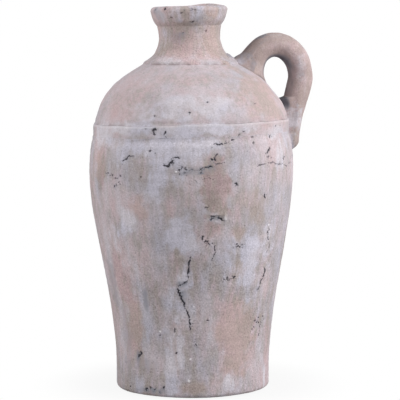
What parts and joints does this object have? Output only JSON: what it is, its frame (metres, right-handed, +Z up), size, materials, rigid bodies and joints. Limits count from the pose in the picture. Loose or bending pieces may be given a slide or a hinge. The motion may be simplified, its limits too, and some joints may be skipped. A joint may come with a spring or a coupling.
{
  "type": "jug vase",
  "caption": "Tall terracotta jug vase with a broad belly, a banded shoulder, a narrow flared neck and a looped handle; stands on its foot and holds stems or liquid.",
  "frame": {"origin": "centre of the flat underside, on the axis of the jug", "axes": "+Z up along the axis of the jug, towards the mouth; +X towards the handle"},
  "size_m": [0.2387, 0.214, 0.4],
  "materials": {
    "terracotta": "matte, dusty, unglazed",
    "pale_terracotta": "matte, dusty, lime washed"
  },
  "bodies": {
    "root": {"base_slab": "terracotta", "lower_wall": "terracotta", "belly_wall": "terracotta", "shoulder_band": "pale_terracotta", "shoulder_dome": "pale_terracotta", "neck": "terracotta", "rim": "terracotta", "handle": "terracotta"}
  },
  "joints": []
}
